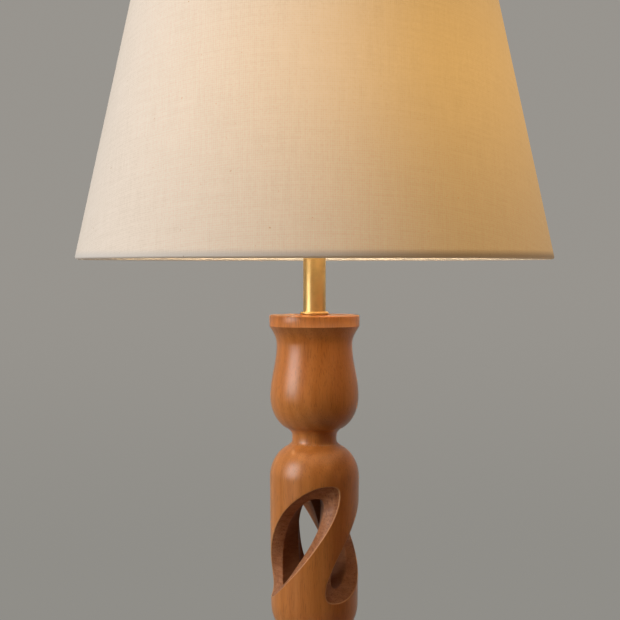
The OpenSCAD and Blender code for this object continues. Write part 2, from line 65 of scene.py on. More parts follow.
def radius(node):
    return (high(node)[0] - low(node)[0]) / 2


BASE_TOP = high("base_disc")[2]
WOOD_TOP = high("upper_vase")[2]
SHADE_Z = low("shade_cover")[2]
SHADE_TOP = high("shade_cover")[2]
SHADE_LOW_R = radius("shade_cover")
SHADE_TOP_R = 140 * MM
GLOBE = Vector((0, 0, high("bulb_glass")[2] - radius("bulb_glass")))

# The turned pieces are worked in millimetres: each has a spigot below and a socket on top.
SPIGOT_R = 12.0
SPIGOT_H = 12.0
SOCKET_R = 12.05
SOCKET_H = 12.5
BORE_R = 5.0
BARREL_Z = low("twist_barrel")[2] + SPIGOT_H * MM
BARREL_H = (high("twist_barrel")[2] - BARREL_Z) / MM


# ---- Mesh helpers ----


def to_object(name, verts, faces):
    mesh = bpy.data.meshes.new(name)
    mesh.from_pydata([tuple(v) for v in verts], [], [tuple(f) for f in faces])
    mesh.validate()
    obj = bpy.data.objects.new(name, mesh)
    bpy.context.scene.collection.objects.link(obj)
    mesh.shade_smooth()
    return obj


def weld(obj, distance=0.01 * MM):
    bm = bmesh.new()
    bm.from_mesh(obj.data)
    bmesh.ops.remove_doubles(bm, verts=bm.verts, dist=distance)
    bmesh.ops.recalc_face_normals(bm, faces=bm.faces)
    bm.to_mesh(obj.data)
    bm.free()
    return obj


def smooth_by_angle(obj, degrees):
    """Shades smooth, with every edge bent further than this left sharp."""
    limit = math.radians(degrees)
    bm = bmesh.new()
    bm.from_mesh(obj.data)
    for edge in bm.edges:
        edge.smooth = len(edge.link_faces) == 2 and edge.calc_face_angle(0) < limit
    bm.to_mesh(obj.data)
    bm.free()
    obj.data.shade_smooth()
    return obj


def catmull(a, b, c, d, t):
    return 0.5 * (2 * b + (c - a) * t + (2 * a - 5 * b + 4 * c - d) * t * t
                  + (3 * b - a - 3 * c + d) * t ** 3)


def curve(knots, steps):
    """Points along a smooth curve through the knots."""
    k = [np.array(p, float) for p in knots]
    last = len(k) - 1
    out = []
    for i in range(last):
        a, b, c, d = (k[max(0, min(last, j))] for j in (i - 1, i, i + 1, i + 2))
        out += [catmull(a, b, c, d, s / steps) for s in range(steps)]
    return out + [k[last]]


def oval(r0, z0, rr, rz, start, end, steps):
    """Points on an ellipse around (r0, z0), between two angles in degrees."""
    out = []
    for i in range(steps + 1):
        t = math.radians(start + (end - start) * i / steps)
        out.append((r0 + rr * math.cos(t), z0 + rz * math.sin(t)))
    return out


def raised(points, z):
    return [(p[0], p[1] + z) for p in points]


def lathe(name, profile, segments, closed=True):
    """Profile turned around the lamp's axis. A closed one joins its last point to its first."""
    verts, faces = [], []
    n = len(profile)
    for r, z in profile:
        for s in range(segments):
            a = TAU * s / segments
            verts.append((r * math.cos(a), r * math.sin(a), z))
    for i in range(n if closed else n - 1):
        j = (i + 1) % n
        for s in range(segments):
            t = (s + 1) % segments
            faces.append((i * segments + s, i * segments + t, j * segments + t, j * segments + s))
    return weld(to_object(name, verts, faces))


def swept(name, path, wire_r, sides):
    """Round bar along a path, closed at both ends."""
    pts = [Vector(p) for p in path]
    verts, faces = [], []
    side = Vector((0, 1, 0))
    for i, p in enumerate(pts):
        t = (pts[min(i + 1, len(pts) - 1)] - pts[max(i - 1, 0)]).normalized()
        side = (side - t * side.dot(t)).normalized()
        up = t.cross(side)
        for s in range(sides):
            a = TAU * s / sides
            verts.append(p + wire_r * (math.cos(a) * side + math.sin(a) * up))
    for i in range(len(pts) - 1):
        for s in range(sides):
            t = (s + 1) % sides
            faces.append((i * sides + s, i * sides + t, (i + 1) * sides + t, (i + 1) * sides + s))
    faces.append(tuple(range(sides))[::-1])
    faces.append(tuple((len(pts) - 1) * sides + s for s in range(sides)))
    return weld(to_object(name, verts, faces))


def place(obj, body, slot, *replaced):
    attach(obj, body)
    if replaced:
        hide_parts(*replaced)
    return obj


# ---- Material helper ----


class Graph:
    """Builds a material's nodes. Values that are sockets are linked, others are set."""

    def __init__(self, name):
        self.material = bpy.data.materials.new(name)
        self.material.use_nodes = True
        self.tree = self.material.node_tree
        self.tree.nodes.clear()

    def node(self, kind, settings=None, **inputs):
        n = self.tree.nodes.new(kind)
        for key, value in (settings or {}).items():
            setattr(n, key, value)
        for key, value in inputs.items():
            name = key.replace("_", " ")
            slot = n.inputs[int(key[1:])] if key[0] == "i" and key[1:].isdigit() else n.inputs[name]
            if isinstance(value, bpy.types.NodeSocket):
                self.tree.links.new(value, slot)
            else:
                slot.default_value = value
        return n

    def math(self, operation, a, b=0.5, c=0.5):
        return self.node("ShaderNodeMath", {"operation": operation}, i0=a, i1=b, i2=c).outputs[0]

    def vector(self, operation, a, b=(0, 0, 0)):
        n = self.node("ShaderNodeVectorMath", {"operation": operation}, i0=a, i1=b)
        return n.outputs["Value" if operation in ("LENGTH", "DOT_PRODUCT") else "Vector"]

    def coords(self):
        return self.node("ShaderNodeTexCoord").outputs["Object"]

    def split(self, vector):
        return self.node("ShaderNodeSeparateXYZ", Vector=vector).outputs

    def attribute(self, name):
        return self.node("ShaderNodeAttribute", {"attribute_name": name}).outputs["Fac"]

    def scaled(self, vector, scale, location=(0, 0, 0), rotation=(0, 0, 0)):
        n = self.node("ShaderNodeMapping", Vector=vector, Scale=scale, Location=location, Rotation=rotation)
        return n.outputs[0]

    def noise(self, vector, scale, detail, roughness):
        n = self.node("ShaderNodeTexNoise", Vector=vector, Scale=scale, Detail=detail, Roughness=roughness)
        return n.outputs["Fac"]

    def ramp(self, fac, *stops):
        n = self.node("ShaderNodeValToRGB", Fac=fac)
        elements = n.color_ramp.elements
        while len(elements) < len(stops):
            elements.new(0.5)
        for e, (pos, value) in zip(elements, stops):
            e.position = pos
            e.color = value if isinstance(value, tuple) else (value, value, value, 1)
        return n.outputs["Color"]

    def range(self, value, from_min, from_max, to_min=0.0, to_max=1.0):
        n = self.node("ShaderNodeMapRange", Value=value, From_Min=from_min, From_Max=from_max,
                      To_Min=to_min, To_Max=to_max)
        return n.outputs[0]

    def mix(self, fac, a, b):
        return self.node("ShaderNodeMix", {"data_type": "RGBA"}, i0=fac, i6=a, i7=b).outputs[2]

    def bump(self, height, strength, distance):
        return self.node("ShaderNodeBump", Height=height, Strength=strength, Distance=distance).outputs[0]

    def finish(self, **inputs):
        shader = self.node("ShaderNodeBsdfPrincipled", **inputs)
        self.node("ShaderNodeOutputMaterial", Surface=shader.outputs[0])
        return self.material


def rgb(r, g, b):
    return (r, g, b, 1.0)


def dress(obj, material):
    obj.data.materials.clear()
    obj.data.materials.append(material)
    return obj


# ---- Open twist ----
# Worked in millimetres, in coordinates that turn with the strands: w is the angle from the
# middle of an opening in degrees, z the height in the barrel.

TWIST_RATE = 1.08
FIRST_WINDOW = -126.6
LEAD_STRAND = -74.6
MID = BARREL_H / 2
BARREL_LOW_R = 36.6
BARREL_R = 37.6
BEVEL_R = 27.0
CAVITY_R = 13.5
SHOULDER = 28.7
SHOULDER_CORE = 12.6
SHOULDER_END = 0.966
NECK_FLARE = 19.6
FLARE_H = 2.5
CAVITY_Z = 24.0
DOME_H = 12.0
LEAD_OUT = 15.0
GROOVE = 2.7
HAND = (0.4, 2.1, 4.3)
ARRIS = 1.0
INNER_ARRIS = 0.7
LEVELS = 8
AROUND = 200
ANGLES = [TAU * i / AROUND for i in range(AROUND)]
SKIN_STEP = 2
END_SIDES = 180


def ease(t):
    u = min(1.0, max(0.0, t))
    return u * u * (3 - 2 * u)


def barrel_radius(z):
    top = 2 * MID
    if z < SHOULDER:
        t = min(SHOULDER_END, (SHOULDER - z) / SHOULDER)
        return SHOULDER_CORE + (BARREL_LOW_R - SHOULDER_CORE) * math.sqrt(1 - t * t)
    if z > top - SHOULDER:
        t = min(SHOULDER_END, (z - top + SHOULDER) / SHOULDER)
        shoulder = SHOULDER_CORE + (BARREL_R - SHOULDER_CORE) * math.sqrt(1 - t * t)
        return max(shoulder, NECK_FLARE + 1.25 * (top - z)) if top - z < FLARE_H else shoulder
    return BARREL_LOW_R + (BARREL_R - BARREL_LOW_R) * (z - SHOULDER) / (top - 2 * SHOULDER)


def cavity_radius(z, w, sector):
    """Radius of the hollow, with its domed ends and the groove for the lead in one strand."""
    end = min(z, 2 * MID - z)
    base = CAVITY_R
    if end < CAVITY_Z + DOME_H:
        t = min(1.0, (CAVITY_Z + DOME_H - end) / DOME_H)
        base = BORE_R + (CAVITY_R - BORE_R) * math.sqrt(1 - t * t)
    reach = LEAD_OUT * ease((end - 14) / 22)
    off = math.radians((FIRST_WINDOW + 120 * sector + w - LEAD_STRAND + 180) % 360 - 180)
    groove = GROOVE * ease((end - CAVITY_Z) / 6)
    spare = groove ** 2 - (reach * math.sin(off)) ** 2
    if groove > 0 and spare > 0 and math.cos(off) > 0:
        base = max(base, reach * math.cos(off) + math.sqrt(spare))
    return base


def by_depth(r, inner, bevel, outer):
    """Value at radius r that changes evenly from the cavity to the bevel's edge, then to the surface."""
    if r < BEVEL_R:
        return inner + (bevel - inner) * max(0.0, r - CAVITY_R) / (BEVEL_R - CAVITY_R)
    return bevel + (outer - bevel) * (r - BEVEL_R) / (BARREL_R - BEVEL_R)


def opening(r, t, sector, grow):
    """Point on an opening's outline at radius r. The hand that carved it wandered a little."""
    hand = HAND[sector]
    drift = 0.35 * math.sin(2 * t + hand) + 0.25 * math.sin(5 * t + 2 * hand)
    c, s = math.cos(t), math.sin(t)
    corner = 0.8 if s > 0 else by_depth(r, 1.0, 1.0, 0.8)
    half_h = by_depth(r, 40.0, 38.0, 49.0) + grow + drift
    half_w = by_depth(r, 44.0, 31.8, 39.6) + math.degrees((grow + drift) / r)
    w = by_depth(r, -8.0, -2.2, 0.0) + math.copysign(abs(c) ** corner, c) * half_w
    return (w, MID + math.copysign(abs(s) ** corner, s) * half_h)


def opening_rim(t, sector, grow):
    """Point on the opening's outline where it meets the barrel's surface, found by a few trials."""
    r = 37.0
    for _ in range(4):
        w, z = opening(r, t, sector, grow)
        r = barrel_radius(z)
    return r, w, z


def on_barrel(r, w, z, sector):
    a = math.radians(FIRST_WINDOW + 120 * sector + TWIST_RATE * (z - MID) + w)
    return (r * math.cos(a) * MM, r * math.sin(a) * MM, BARREL_Z + z * MM)


def inside(point, loop):
    x, y = point
    hit = False
    for (x0, y0), (x1, y1) in zip(loop, loop[1:] + loop[:1]):
        if (y0 > y) != (y1 > y) and x < (x1 - x0) * (y - y0) / (y1 - y0) + x0:
            hit = not hit
    return hit


def skin(sector, radius_of, nominal, rows, hole, margin):
    """A third of a surface, with an opening in it."""
    flat = math.radians(nominal)
    middle_w = sum(p[0] for p in hole) / len(hole)
    middle_z = sum(p[1] for p in hole) / len(hole)
    wide = [(middle_w + (w - middle_w) * margin, middle_z + (z - middle_z) * margin) for w, z in hole]
    points = list(hole)
    for z in rows:
        points += [(w, z) for w in range(-60, 61, SKIN_STEP) if not inside((w, z), wide)]
    n = len(hole)
    edges = [(i, (i + 1) % n) for i in range(n)]
    flat_points = [Vector((w * flat, z)) for w, z in points]
    found, _, triangles, _, _, _ = delaunay_2d_cdt(flat_points, edges, [], 0, 1e-6)
    verts = [(p.x / flat, p.y) for p in found]
    kept = []
    for f in triangles:
        middle = (sum(verts[i][0] for i in f) / 3, sum(verts[i][1] for i in f) / 3)
        if not inside(middle, hole):
            kept.append(f)
    return [on_barrel(radius_of(z, w, sector), w, z, sector) for w, z in verts], kept


def strip(start, around, skew=0):
    """Quads between one loop of points and the next, which may be turned by some places."""
    quads = []
    for s in range(around):
        t = (s + 1) % around
        after = start + around
        quads.append((start + s, start + t, after + (t + skew) % around, after + (s + skew) % around))
    return quads


def outer_surface(sector):
    top = 2 * MID
    shoulder = [SHOULDER - SHOULDER * math.cos(math.radians(a)) for a in range(15, 91, 3)]
    straight = [SHOULDER + (top - 2 * SHOULDER) * i / 46 for i in range(1, 46)]
    rows = [0.0] + shoulder + straight + [top - z for z in reversed(shoulder)] + [top]
    hole = [opening_rim(t, sector, ARRIS)[1:] for t in ANGLES]
    return skin(sector, lambda z, w, s: barrel_radius(z), 36, rows, hole, 1.018)


def inner_surface(sector):
    end = CAVITY_Z + DOME_H
    dome = [end - DOME_H * math.cos(math.radians(a)) for a in range(0, 91, 10)]
    rows = dome + [end + (2 * MID - 2 * end) * i / 44 for i in range(1, 44)]
    rows += [2 * MID - z for z in reversed(dome)]
    mouth = [opening(CAVITY_R, t, sector, INNER_ARRIS) for t in ANGLES]
    return skin(sector, cavity_radius, CAVITY_R, rows, mouth, 1.03)


def gouged(t, sector, level):
    """Point on the cut wall: the bevel up to LEVELS, the wall behind it after that."""
    bevel = level <= LEVELS
    share = level / LEVELS if bevel else level / LEVELS - 1
    rim = opening_rim(t, sector, 0)[0] - ARRIS
    start, end = (rim, BEVEL_R) if bevel else (BEVEL_R, CAVITY_R + INNER_ARRIS)
    r = start + (end - start) * share
    gouge = 0.22 * math.sin(9 * t + 3.1 * HAND[sector] + 0.22 * r) * math.sin(math.pi * share)
    return (r, *opening(r, t, sector, gouge))


def opening_wall(sector):
    """Loops of points from the surface through an opening to the cavity, each with its two marks."""
    loops, cut, deep = [], [], []

    def ring(points, how_cut, how_deep):
        loops.append([on_barrel(r, w, z, sector) for r, w, z in points])
        cut.append(how_cut)
        deep.append(how_deep)

    for a in range(0, 91, 15):
        rise, turn = ARRIS * (1 - math.sin(math.radians(a))), ARRIS * (1 - math.cos(math.radians(a)))
        rim = [opening_rim(t, sector, rise) for t in ANGLES]
        ring([(r - turn, w, z) for r, w, z in rim], a / 90, 0.0)
    for level in range(1, 2 * LEVELS):
        behind = level / LEVELS - 1
        points = [gouged(t, sector, level) for t in ANGLES]
        ring(points, 1.0, 0.0 if behind <= 0 else min(1.0, 0.55 + 0.45 * behind))
    for a in range(0, 91, 18):
        turn = INNER_ARRIS * (1 - math.cos(math.radians(a)))
        r = CAVITY_R + INNER_ARRIS * (1 - math.sin(math.radians(a)))
        ring([(r, *opening(CAVITY_R, t, sector, turn)) for t in ANGLES], 1.0, 1.0)
    return loops, cut, deep


def barrel_end(chain, level, last, skew):
    """A hidden end: loops along a chain of radii and heights, the last one turned to meet the cavity."""
    points, quads = [], []
    for i, (r, z) in enumerate(chain):
        start = FIRST_WINDOW - 60 + TWIST_RATE * ((last if i == 4 else level) - MID)
        for s in range(END_SIDES):
            a = math.radians(start + 360 / END_SIDES * s)
            points.append((r * math.cos(a) * MM, r * math.sin(a) * MM, BARREL_Z + z * MM))
    for i in range(4):
        quads += strip(i * END_SIDES, END_SIDES, skew if i == 3 else 0)
    return points, quads


def carved_barrel():
    """The whole barrel, with two marks on its points: freshly cut, and deep behind the bevel, where the
    carved wood's colour holds painted shade.
    """
    verts, faces, cut, depth = [], [], [], []

    def add(points, polygons, how_cut, how_deep):
        start = len(verts)
        verts.extend(points)
        cut.extend(how_cut)
        depth.extend(how_deep)
        faces.extend(tuple(start + i for i in f) for f in polygons)

    for sector in range(3):
        points, polygons = outer_surface(sector)
        add(points, polygons, [0.0] * len(points), [0.0] * len(points))
        points, polygons = inner_surface(sector)
        add(points, polygons, [1.0] * len(points), [1.0] * len(points))
        loops, marks, deep = opening_wall(sector)
        quads = [q for i in range(len(loops) - 1) for q in strip(i * AROUND, AROUND)]
        add([p for loop in loops for p in loop], quads, np.repeat(marks, AROUND), np.repeat(deep, AROUND))

    top, shift = 2 * MID, round(CAVITY_Z * TWIST_RATE * END_SIDES / 360)
    spigot = [(barrel_radius(0), 0), (SPIGOT_R, 0), (SPIGOT_R, -SPIGOT_H), (BORE_R, -SPIGOT_H),
              (BORE_R, CAVITY_Z)]
    socket = [(barrel_radius(top), top), (SOCKET_R, top), (SOCKET_R, top - SOCKET_H),
              (BORE_R, top - SOCKET_H), (BORE_R, top - CAVITY_Z)]
    for points, quads in (barrel_end(spigot, 0, CAVITY_Z, -shift),
                          barrel_end(socket, top, top - CAVITY_Z, shift)):
        add(points, quads, [1.0] * len(points), [1.0] * len(points))

    obj = to_object("carved_twist", verts, faces)
    for key, values in (("cut", cut), ("deep", depth)):
        layer = obj.data.attributes.new(key, "FLOAT", "POINT")
        layer.data.foreach_set("value", values)
    return smooth_by_angle(weld(obj, 0.02 * MM), 28)


# ---- Turned pieces and bent wire ----


def scaled_mm(points):
    return [(r * MM, z * MM) for r, z in points]


def turned_vase():
    z0 = low("upper_vase")[2] / MM + SPIGOT_H
    height = WOOD_TOP / MM - z0
    lip, flange = 1.3, 38.0
    neck = [(NECK_FLARE, 0), (19.0, 1.2), (18.7, 3.2), (18.7, 6), (19.4, 9), (22.6, 12.6)]
    body = [tuple(p) for p in curve(neck, 6)][:-1] + oval(15.2, 39.5, 22.0, 29.0, -69, 0, 40)
    for i in range(1, 41):
        t = i / 40
        body.append((34.5 + 2.7 * math.cos(math.pi * t), 39.5 + 44 * t))
    for i in range(1, 25):
        t = i / 24
        body.append((31.8 + 5.9 * (1 - math.cos(math.pi / 2 * t)), 83.5 + 14.8 * t))
    body += oval(flange - 0.3, 98.6, 0.3, 0.3, 0, 60, 3)
    body += oval(flange - lip, height - lip, lip, lip, 0, 90, 8)
    bore = [(8.05, height), (8.05, height - 22.5), (BORE_R, height - 22.5), (BORE_R, -SPIGOT_H),
            (SPIGOT_R, -SPIGOT_H), (SPIGOT_R, 0)]
    return lathe("turned_vase", scaled_mm(raised(body + bore, z0)), 180)


def turned_foot():
    z0 = BASE_TOP / MM
    knots = [(50, 0), (50.5, 2.5), (48.5, 5), (40, 9), (32.5, 16), (30, 23), (32, 31), (34.5, 38),
             (33.5, 44.5), (27, 51), (19.8, 55), (18.8, 59)]
    top, spigot_r, spigot_h = knots[-1][1], 15, 4.5
    body = [tuple(p) for p in curve(knots, 12)]
    bore = [(SOCKET_R, top), (SOCKET_R, top - SOCKET_H), (BORE_R, top - SOCKET_H), (BORE_R, -spigot_h),
            (spigot_r, -spigot_h), (spigot_r, 0)]
    return lathe("turned_foot", scaled_mm(raised(body + bore, z0)), 180)


def turned_base():
    edge = [(82.5, 3.0)] + oval(82.5, 4.5, 1.5, 1.5, -90, 0, 5) + oval(80, 24, 4, 4, 0, 80, 10)
    dome = [tuple(p) for p in curve([(79, 28), (77, 29), (75, 29.4), (66, 30.6), (54, 31)], 6)]
    under = [(15.05, 31), (15.05, 26.2), (BORE_R, 26.2), (BORE_R, 14), (62, 14), (62, 3)]
    return lathe("turned_base", scaled_mm(edge + dome + under), 220)


def blown_globe():
    z0 = low("bulb_cap")[2] / MM + 21
    r = radius("bulb_glass") / MM
    centre = GLOBE.z / MM
    neck = radius("bulb_cap") / MM - 0.9
    knots = [(neck, z0 - 6), (neck, z0), (neck + 1, z0 + 6), (neck + 6.5, z0 + 22), (r - 4, centre - 17)]
    outer = [tuple(p) for p in curve(knots, 8)] + oval(0, centre, r, r, -18, 89.5, 40)
    inner = [(max(0.2, x - 0.9), z - 0.9 * max(0, (z - centre) / r)) for x, z in reversed(outer)]
    return lathe("blown_globe", scaled_mm(outer + inner), 96)


def bent_harp():
    leg_x, widest = 27.0, 57.5
    leg_top = high("harp_saddle")[2] / MM + 26
    crown = (low("harp_boss")[2] + high("harp_boss")[2]) / 2 / MM
    right = [(leg_x, 0, leg_top - 26), (leg_x, 0, leg_top - 10), (leg_x, 0, leg_top),
             (leg_x + 6, 0, leg_top + 18), (widest - 8, 0, leg_top + 42), (widest, 0, leg_top + 90),
             (widest - 4, 0, leg_top + 132), (widest - 16, 0, crown - 22), (26, 0, crown - 5),
             (10, 0, crown), (5, 0, crown)]
    path = curve(right, 10)
    halves = []
    for side, name in ((1, "bent_harp_right"), (-1, "bent_harp_left")):
        halves.append(swept(name, [(side * p[0] * MM, 0, p[2] * MM) for p in path], 2.0 * MM, 20))
    return halves


# ---- Shade ----

LINEN_T = 0.9
LINER_T = 0.5
THREAD = 1.65 * MM
HEM_R = 3.15
HEM_DROP = 1.9
HEM_TURN = 9.0
SLOPE = (SHADE_LOW_R - SHADE_TOP_R) / (SHADE_TOP - SHADE_Z)
CONE_ANGLE = math.atan(SLOPE)
APEX_Z = SHADE_Z + SHADE_LOW_R / SLOPE


def cone(z):
    """Radius in millimetres of the shade's outer surface at height z in millimetres."""
    return (SHADE_LOW_R - SLOPE * (z * MM - SHADE_Z)) / MM


def cloth_path():
    """Middle line of the linen: inside hem, over the lower ring, up the wall, over the upper ring."""
    half = LINEN_T / 2
    z0, z1 = SHADE_Z / MM, SHADE_TOP / MM
    path = []
    for i in range(7):
        t = i / 6
        z = z0 + HEM_TURN + (HEM_DROP - HEM_TURN) * t
        path.append((cone(z) - LINEN_T - LINER_T - half - (2 * HEM_R - 2.75) * ease(t * 1.1), z))
    a = cone(z0 + HEM_DROP) - HEM_R
    path += oval(a, z0 + HEM_DROP, -(HEM_R - half), -(HEM_DROP - half), 0, 180, 12)[1:]
    wall = 60
    for i in range(1, wall):
        z = z0 + HEM_DROP + (z1 - z0 - 2 * HEM_DROP) * i / wall
        path.append((cone(z) - half, z))
    b = cone(z1 - HEM_DROP) - HEM_R
    path += oval(b, z1 - HEM_DROP, HEM_R - half, HEM_DROP - half, 0, 180, 12)
    for i in range(1, 7):
        t = i / 6
        z = z1 - HEM_DROP - (HEM_TURN - HEM_DROP) * t
        path.append((cone(z) - LINEN_T - LINER_T - half - (2 * HEM_R - 2.75) * (1 - ease(t * 1.1)), z))
    return path


def thickened(path, thickness):
    """Closed outline around a middle line."""
    out, back = [], []
    for i, p in enumerate(path):
        a, b = path[max(i - 1, 0)], path[min(i + 1, len(path) - 1)]
        dx, dz = b[0] - a[0], b[1] - a[1]
        n = math.hypot(dx, dz)
        off = (dz / n * thickness / 2, -dx / n * thickness / 2)
        out.append((p[0] + off[0], p[1] + off[1]))
        back.append((p[0] - off[0], p[1] - off[1]))
    return out + back[::-1]


def unroll(obj):
    """UVs of the flat cloth in metres, with the warp along v."""
    layer = obj.data.uv_layers.new(name="cloth")
    k = math.sin(CONE_ANGLE)
    for face in obj.data.polygons:
        corners = [obj.data.vertices[i].co for i in face.vertices]
        turns = [math.atan2(c.x, -c.y) for c in corners]
        if max(turns) - min(turns) > math.pi:
            turns = [t + TAU if t < 0 else t for t in turns]
        for loop, c, turn in zip(face.loop_indices, corners, turns):
            slant = (APEX_Z - c.z) / math.cos(CONE_ANGLE)
            layer.data[loop].uv = (slant * math.sin(turn * k), -slant * math.cos(turn * k))
    return obj


def linen_cover():
    return unroll(lathe("linen_cover", scaled_mm(thickened(cloth_path(), LINEN_T)), 288))


def stiff_liner():
    z0, z1 = SHADE_Z / MM + 2.2, SHADE_TOP / MM - 2.2
    outer = [(cone(z0 + (z1 - z0) * i / 12) - LINEN_T, z0 + (z1 - z0) * i / 12) for i in range(13)]
    inner = [(r - LINER_T, z) for r, z in reversed(outer)]
    return lathe("stiff_liner", scaled_mm(outer + inner), 288)


# ---- Materials ----

HEART = (0.055, -0.04, 0)


def grain_coords(g):
    """Coordinates stretched along the grain, measured from the heart of the tree."""
    p = g.scaled(g.coords(), (1, 1, 0.05), HEART)
    warp = g.node("ShaderNodeTexNoise", Vector=p, Scale=9.0, Detail=2.0)
    shift = g.node("ShaderNodeVectorMath", {"operation": "SCALE"}, i0=warp.outputs["Color"], Scale=0.018)
    return g.vector("ADD", p, shift.outputs[0])


def wood(name, carved=False):
    g = Graph(name)
    p = grain_coords(g)
    heart = g.vector("LENGTH", g.vector("MULTIPLY", p, (1, 1, 0)))
    rings = g.math("MULTIPLY_ADD", g.math("SINE", g.math("MULTIPLY", heart, 700.0)), 0.5, 0.5)
    broad = g.noise(p, 30.0, 3.0, 0.55)
    fibre = g.noise(g.scaled(p, (1, 1, 0.5)), 420.0, 4.0, 0.65)
    fine = g.noise(g.scaled(p, (1, 1, 0.7)), 1500.0, 2.0, 0.6)
    pores = g.range(g.noise(g.scaled(p, (1, 1, 1.6)), 1250.0, 1.0, 0.5), 0.58, 0.68)
    tone = g.math("MULTIPLY_ADD", broad, 0.55, g.math("MULTIPLY", rings, 0.09))
    tone = g.math("MULTIPLY_ADD", fibre, 0.22, tone)
    tone = g.math("MULTIPLY_ADD", fine, 0.20, tone)
    colour = g.ramp(tone, (0.30, rgb(0.42, 0.125, 0.022)), (0.50, rgb(0.57, 0.195, 0.038)),
                    (0.70, rgb(0.69, 0.270, 0.066)))
    colour = g.mix(g.math("MULTIPLY", pores, 0.26), colour, rgb(0.14, 0.036, 0.009))
    rough = g.math("MULTIPLY_ADD", fine, 0.16, 0.30)
    height = g.math("SUBTRACT", g.math("MULTIPLY", fine, 0.9), g.math("MULTIPLY", pores, 0.6))
    normal = g.bump(height, 0.30, 0.00018)
    if not carved:
        return g.finish(Base_Color=colour, Roughness=rough, Normal=normal, Specular_IOR_Level=0.5,
                        Coat_Weight=0.32, Coat_Roughness=0.26)
    cut = g.attribute("cut")
    deep = g.attribute("deep")
    across = g.noise(g.scaled(g.coords(), (0.3, 0.3, 1.0), rotation=(0.25, -0.2, 0)), 520.0, 3.0, 0.62)
    patches = g.noise(g.coords(), 75.0, 3.0, 0.6)
    pale = g.ramp(g.math("MULTIPLY_ADD", across, 0.75, g.math("MULTIPLY", patches, 0.3)),
                  (0.30, rgb(0.30, 0.100, 0.032)), (0.52, rgb(0.42, 0.160, 0.060)),
                  (0.78, rgb(0.55, 0.25, 0.115)))
    pale = g.mix(g.math("MULTIPLY", pores, 0.45), pale, rgb(0.10, 0.03, 0.012))
    # painted shade: the walls deep behind the bevel and the cavity are painted dark brown
    recess_shade = g.mix(across, rgb(0.13, 0.042, 0.011), rgb(0.33, 0.115, 0.036))
    # painted highlight: a pale gold line along the arris, where cut lies between 0 and 1
    arris_highlight = g.math("MULTIPLY", g.math("MULTIPLY", cut, g.math("SUBTRACT", 1.0, cut)), 1.9)
    colour = g.mix(cut, colour, g.mix(deep, pale, recess_shade))
    colour = g.mix(arris_highlight, colour, rgb(0.80, 0.46, 0.20))
    rough = g.math("MULTIPLY_ADD", cut, 0.27, rough)
    scratches = g.bump(across, 0.30, 0.0003)
    normal = g.node("ShaderNodeMix", {"data_type": "VECTOR"}, i0=cut, i4=normal, i5=scratches).outputs[1]
    return g.finish(Base_Color=colour, Roughness=rough, Normal=normal, Specular_IOR_Level=0.5,
                    Coat_Weight=g.math("MULTIPLY_ADD", cut, -0.24, 0.32), Coat_Roughness=0.26)


def brushed(name, base, low_rough, streak, tarnish=0.0):
    """Metal with fine streaks around it and, where it is tarnished, brown smudges."""
    g = Graph(name)
    lines = g.noise(g.scaled(g.coords(), (14, 14, 1)), 1400.0, 3.0, 0.6)
    smudge = g.noise(g.coords(), 90.0, 3.0, 0.55)
    colour = g.mix(g.math("MULTIPLY", g.range(smudge, 0.45, 0.75), tarnish), base, rgb(0.20, 0.12, 0.05))
    rough = g.math("MULTIPLY_ADD", lines, streak, g.math("MULTIPLY_ADD", smudge, 0.08, low_rough))
    return g.finish(Base_Color=colour, Metallic=1.0, Roughness=rough, Normal=g.bump(lines, 0.06, 0.00004))


def grainy(name, low_colour, high_colour, scale, rough, bump=0.2, depth=0.0002, **more):
    """Plain material with a fine mottle."""
    g = Graph(name)
    mottle = g.noise(g.coords(), scale, 4.0, 0.6)
    colour = g.ramp(mottle, (0.3, low_colour), (0.7, high_colour))
    return g.finish(Base_Color=colour, Roughness=g.math("MULTIPLY_ADD", mottle, 0.14, rough - 0.07),
                    Normal=g.bump(mottle, bump, depth), **more)


def weave(g):
    """How thick the cloth is at each place and where its flecks are, from its own flat coordinates."""
    uv = g.node("ShaderNodeUVMap", {"uv_map": "cloth"}).outputs[0]
    flat = g.split(uv)
    waves = []
    for key, stretch in (("X", (90, 22, 1)), ("Y", (22, 90, 1))):
        drift = g.math("MULTIPLY", g.noise(g.scaled(uv, stretch), 1.0, 2.0, 0.5), 9.0)
        turns = g.math("MULTIPLY_ADD", flat[key], TAU / THREAD, drift)
        waves.append(g.math("SINE", turns))
    plain = g.math("ADD", waves[0], waves[1])
    uneven = g.noise(g.scaled(uv, (480, 480, 1)), 1.0, 2.0, 0.6)
    warp = g.noise(g.scaled(uv, (420, 30, 1)), 1.0, 1.0, 0.5)
    weft = g.noise(g.scaled(uv, (26, 420, 1), (7.3, 2.1, 0)), 1.0, 1.0, 0.5)
    threads = g.math("MULTIPLY_ADD", plain, 0.06, g.math("MULTIPLY", uneven, 0.5))
    threads = g.math("MULTIPLY_ADD", g.math("ADD", warp, weft), 0.25, threads)
    speck = g.range(g.noise(g.scaled(uv, (300, 300, 1)), 1.0, 1.0, 0.5), 0.76, 0.80)
    return threads, speck


def painted_glow_through(g):
    """Painted glow of the bulb on the cloth, put in as emission: falls off with the distance and the slant
    from the globe.
    """
    away = g.vector("SUBTRACT", g.coords(), tuple(GLOBE))
    part = g.split(g.vector("NORMALIZE", away))
    level = g.math("POWER", g.math("SUBTRACT", 1.0, g.math("POWER", part["Z"], 2.0)), 0.5)
    near = g.math("DIVIDE", level, g.math("POWER", g.vector("LENGTH", away), 2.0))
    direct = g.math("MULTIPLY", near, 0.0133)
    # the painted glow is brighter towards +X than towards -X
    bend = g.math("MULTIPLY_ADD", part["X"], -0.29, 0.39)
    side = g.math("MULTIPLY_ADD", part["X"], bend, 0.97)
    return g.math("MULTIPLY", g.math("MULTIPLY_ADD", direct, 1.3, 0.40), side)


